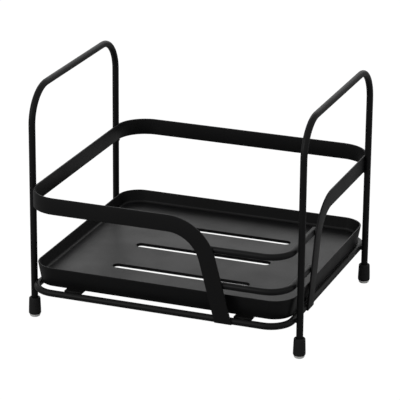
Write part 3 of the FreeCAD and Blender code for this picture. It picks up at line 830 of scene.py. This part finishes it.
    def slot_outline(self, bm, y, level, outset, sizes):
        """Edges of one round-ended slot at a level, moved out from the hole's edge."""
        wide = sizes.slot_length + 2 * outset
        deep = sizes.slot_width + 2 * outset
        place = Matrix.Translation((0, y, level))
        face = rounded_rectangle(bm, wide, deep, deep / 2 - END_FLAT, 8, place)
        outline = list(face.edges)
        bmesh.ops.delete(bm, geom=[face], context="FACES_ONLY")
        return outline


class RACK_OT_feet(bpy.types.Operator):
    """Mould the four rubber caps and turn the pads in their feet"""

    bl_idname = "rack.feet"
    bl_label = "Rubber Feet"

    def execute(self, context):
        sizes = context.scene.rack_sizes
        rubber, plastic = foot_rubber(), pad_plastic()
        for name, leg in leg_places().items():
            self.make_cap(name, leg, rubber, sizes)
            self.make_pad(name, leg, plastic, sizes)
        return {"FINISHED"}

    def turned(self, profile, leg, sides):
        """Half profile of (radius, level) turned full circle about a leg."""
        bm = bmesh.new()
        verts = [bm.verts.new((leg.x + radius, leg.y, level)) for radius, level in profile]
        edges = [bm.edges.new(pair) for pair in zip(verts, verts[1:])]
        bmesh.ops.spin(bm, geom=verts + edges, cent=(leg.x, leg.y, 0), axis=UP, angle=math.tau,
                       steps=sides, use_merge=True, use_duplicate=False)
        bmesh.ops.remove_doubles(bm, verts=bm.verts, dist=MERGE_DISTANCE)
        return bm

    def make_cap(self, name, leg, rubber, sizes):
        """Cap with a rounded shoulder, a slight waist and a soft lip."""
        node = "foot_cap_" + name
        low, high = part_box(node)
        rod = rod_box(HOOPS[0], 0)[2]
        lip = (high.x - low.x) / 2 + sizes.cap_swell
        foot = low.z + sizes.cap_lift
        head = high.z - sizes.cap_drop
        tall = head - foot
        top = lip * sizes.cap_narrow
        soft = sizes.cap_round
        # The bore closes on the leg, then the shoulder, the belly and the lip, and a hidden hem.
        profile = [(rod, head - 0.0018), (rod + 0.00012, head - 0.0002), (top - soft, head)]
        for _, turn in quarter_turn(6):
            profile.append((top - soft + soft * math.sin(turn), head - soft + soft * math.cos(turn)))
        for part in (0.80, 0.62, 0.45, 0.30, 0.20):
            belly = lip - (lip - top) * part ** 1.3
            profile.append((belly, foot + tall * part))
        for _, turn in quarter_turn(6):
            curl = sizes.lip_in * (1 - math.cos(turn))
            profile.append((lip - curl, foot + sizes.lip_up * (1 - math.sin(turn))))
        profile += [(lip - 0.0014, foot + 0.0001), (lip - 0.0016, foot + 0.0008)]
        bm = self.turned(profile, leg, 48)
        finish_piece(bm, node, "_moulding", rubber, sharp_angle=50.0)

    def make_pad(self, name, leg, plastic, sizes):
        """Domed pad that stands out of the cap's foot."""
        node = "foot_pad_" + name
        low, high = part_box(node)
        radius = (high.x - low.x) / 2 + sizes.pad_spread
        tall = high.z - low.z + 0.0002
        hidden = low.z + tall + 0.0003
        flat = radius * sizes.pad_flat
        profile = [(0.0, low.z), (flat, low.z)]
        for _, turn in quarter_turn(8):
            outward = flat + (radius - flat) * math.sin(turn)
            profile.append((outward, low.z + tall * (1 - math.cos(turn))))
        profile += [(radius - 0.0003, hidden), (0.0, hidden)]
        bm = self.turned(profile, leg, 40)
        finish_piece(bm, node, "_button", plastic, sharp_angle=50.0)


class RACK_OT_welds(bpy.types.Operator):
    """Lay the small weld beads that hold the frame together"""

    bl_idname = "rack.welds"
    bl_label = "Weld Beads"

    def execute(self, context):
        sizes = context.scene.rack_sizes
        for node, places in self.joints(sizes).items():
            bm = bmesh.new()
            for index, (place, stretch) in enumerate(places):
                self.bead(bm, place, stretch, sizes.weld_reach, index)
            finish_piece(bm, node, "_beads", frame_coat(), sharp_angle=80.0)
        return {"FINISHED"}

    def joints(self, sizes):
        """Middle and stretch of each bead, by the CAD node that it stands for."""
        ring_low, ring_high, rod = rod_box("base_ring", 2)
        ring_z = (ring_low.z + ring_high.z) / 2
        band_low, band_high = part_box("guard_band")
        behind_x = band_high.x - sizes.band_thick - SEATING
        behind_y = band_low.y + sizes.band_thick + SEATING
        found = self.hoop_joints(ring_high.x, ring_z, rod, sizes)
        for wire in WIRES:
            low, high, _ = rod_box(wire, 2)
            level = (low.z + high.z) / 2
            found[wire.replace("corner_wire", "wire_welds")] = [
                (Vector((low.x + sizes.wire_tuck, behind_y, level)), ROUND_BEAD),
                (Vector((behind_x, high.y - sizes.wire_tuck, level)), ROUND_BEAD),
            ]
        end_edge = max(vert.co.x for vert in frame["nodes"]["guard_band"].data.vertices
                       if vert.co.y < band_low.y + sizes.band_thick and vert.co.z < ring_z)
        found["front_end_welds"] = [(Vector((end_edge - back, behind_y, ring_z)), ROUND_BEAD)
                                    for back in END_BEADS]
        found["cross_bar_welds"] = self.bar_joints()
        return found

    def hoop_joints(self, ring_side, ring_z, rod, sizes):
        """Beads between each leg and the ring, and where a leg stands against the band."""
        legs = leg_places()
        found = {}
        for side, sign, seated in (("left", -1, ("front", "rear")), ("right", 1, ("rear",))):
            contact = sign * (ring_side - 0.5e-4)
            beads = [(Vector((contact, legs[end + "_" + side].y, ring_z)), RING_BEAD)
                     for end in ("front", "rear")]
            for end in seated:
                leg = legs[end + "_" + side]
                under = sizes.band_bottom - 0.0006
                beads.append((Vector((leg.x - sign * rod, leg.y, under)), BAND_BEAD))
            found["hoop_welds_" + side] = beads
        return found

    def bar_joints(self):
        """Beads under both ends of each cross bar."""
        beads = []
        for bar in BARS:
            low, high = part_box(bar)
            middle = (low.x + high.x) / 2
            for y in (low.y, high.y):
                beads.append((Vector((middle, y, low.z + 0.0002)), BAR_BEAD))
        return beads

    def bead(self, bm, place, stretch, radius, seed):
        """Rounded bead, a little uneven, as a weld is under its coat."""
        made = bmesh.ops.create_icosphere(bm, subdivisions=3, radius=radius)["verts"]
        for vert in made:
            ripple = noise.noise(vert.co * 900 + Vector((seed * 7.3, 0, 0)))
            vert.co *= 1 + 0.10 * ripple
        bmesh.ops.scale(bm, verts=made, vec=stretch)
        bmesh.ops.translate(bm, verts=made, vec=place)


class RACK_OT_stage(bpy.types.Operator):
    """Set the pale floor, the soft lights and the camera"""

    bl_idname = "rack.stage"
    bl_label = "Studio"

    def execute(self, context):
        scene = context.scene
        view = scene.rack_view
        self.make_floor(view)
        self.make_world(scene, view)
        self.add_softbox("back_softbox", place=(-0.95, 2.6, 1.2), target=(0, 0, 0.05),
                         size=(3.4, 1.8), power=15.0)
        self.add_softbox("front_softbox", place=(-1.3, -1.9, 1.1), target=(0, 0, 0.10),
                         size=(1.4, 1.0), power=9.0)
        self.make_camera(scene, view)
        scene.view_settings.view_transform = "Standard"
        return {"FINISHED"}

    def make_floor(self, view):
        """Level floor that glows evenly, so that it stays pale under the rack."""
        bm = bmesh.new()
        bmesh.ops.create_grid(bm, x_segments=1, y_segments=1, size=view.floor_size / 2)
        mesh = bpy.data.meshes.new("pale_floor")
        bm.to_mesh(mesh)
        bm.free()
        material, tree, shader = new_material("pale_floor")
        shader.inputs["Roughness"].default_value = 0.9
        shader.inputs["Specular IOR Level"].default_value = 0.0
        shader.inputs["Emission Color"].default_value = (1, 1, 1, 1)
        seen = add_node(tree, "LightPath").outputs["Is Camera Ray"]
        shaded = opaque([view.floor_shade] * 3)
        surface = mixed_colour(tree, seen, opaque(view.floor_colour), shaded)
        tree.links.new(surface, shader.inputs["Base Color"])
        tree.links.new(seen, shader.inputs["Emission Strength"])
        mesh.materials.append(material)
        floor = bpy.data.objects.new("pale_floor", mesh)
        bpy.context.scene.collection.objects.link(floor)

    def make_world(self, scene, view):
        """Even surround of the same brightness as the floor."""
        world = bpy.data.worlds.new("studio")
        world.use_nodes = True
        surround = world.node_tree.nodes["Background"]
        surround.inputs["Color"].default_value = (1, 1, 1, 1)
        surround.inputs["Strength"].default_value = view.glow
        scene.world = world

    def add_softbox(self, name, place, target, size, power):
        """Wide rectangular lamp that points at a target."""
        lamp = bpy.data.lights.new(name, "AREA")
        lamp.shape = "RECTANGLE"
        lamp.size, lamp.size_y = size
        lamp.energy = power
        holder = bpy.data.objects.new(name, lamp)
        aim = Vector(target) - Vector(place)
        holder.location = place
        holder.rotation_euler = aim.to_track_quat("-Z", "Y").to_euler()
        bpy.context.scene.collection.objects.link(holder)

    def make_camera(self, scene, view):
        """Camera on its target, rolled about its line of sight."""
        around, above = view.azimuth, view.elevation
        level = Vector((math.sin(around), -math.cos(around), 0))
        back = level * math.cos(above) + UP * math.sin(above)
        across = (-back).cross(UP).normalized()
        upward = back.cross(across)
        across = across * math.cos(view.roll) + upward * math.sin(view.roll)
        upward = back.cross(across)
        target = Vector((-view.target_left, 0, view.target_height))
        lens = bpy.data.cameras.new("camera")
        lens.lens = view.focal
        camera = bpy.data.objects.new("camera", lens)
        turned = Matrix((across, upward, back)).transposed().to_4x4()
        camera.matrix_world = Matrix.Translation(target + back * view.distance) @ turned
        scene.collection.objects.link(camera)
        scene.camera = camera


class RACK_PT_panel(bpy.types.Panel):
    """Sidebar panel that lists the rack's pieces"""

    bl_label = "Dish Drying Rack"
    bl_idname = "RACK_PT_panel"
    bl_space_type = "VIEW_3D"
    bl_region_type = "UI"
    bl_category = "Rack"

    def draw(self, context):
        for operator in OPERATORS:
            self.layout.operator(operator.bl_idname)
        for group in ("rack_sizes", "rack_finish", "rack_view"):
            box = self.layout.box()
            settings = getattr(context.scene, group)
            for name in settings.bl_rna.properties.keys():
                if name not in {"rna_type", "name"}:
                    box.prop(settings, name)


OPERATORS = (
    RACK_OT_stage, RACK_OT_hoops, RACK_OT_base_ring, RACK_OT_corner_wires, RACK_OT_guard_band,
    RACK_OT_cross_bars, RACK_OT_drip_tray, RACK_OT_feet, RACK_OT_welds,
)
GROUPS = {"rack_sizes": RackSizes, "rack_finish": RackFinish, "rack_view": RackView}


def register():
    """Add the rack's settings, operators and panel."""
    for group in GROUPS.values():
        bpy.utils.register_class(group)
    for operator in OPERATORS:
        bpy.utils.register_class(operator)
    bpy.utils.register_class(RACK_PT_panel)
    for name, group in GROUPS.items():
        setattr(bpy.types.Scene, name, PointerProperty(type=group))


def unregister():
    """Take them away again, in the opposite order."""
    for name in GROUPS:
        delattr(bpy.types.Scene, name)
    bpy.utils.unregister_class(RACK_PT_panel)
    for operator in reversed(OPERATORS):
        bpy.utils.unregister_class(operator)
    for group in reversed(list(GROUPS.values())):
        bpy.utils.unregister_class(group)


def main():
    """Build the whole rack and its studio."""
    register()
    for operator in OPERATORS:
        family, action = operator.bl_idname.split(".")
        getattr(getattr(bpy.ops, family), action)()


if __name__ == "__main__":
    main()
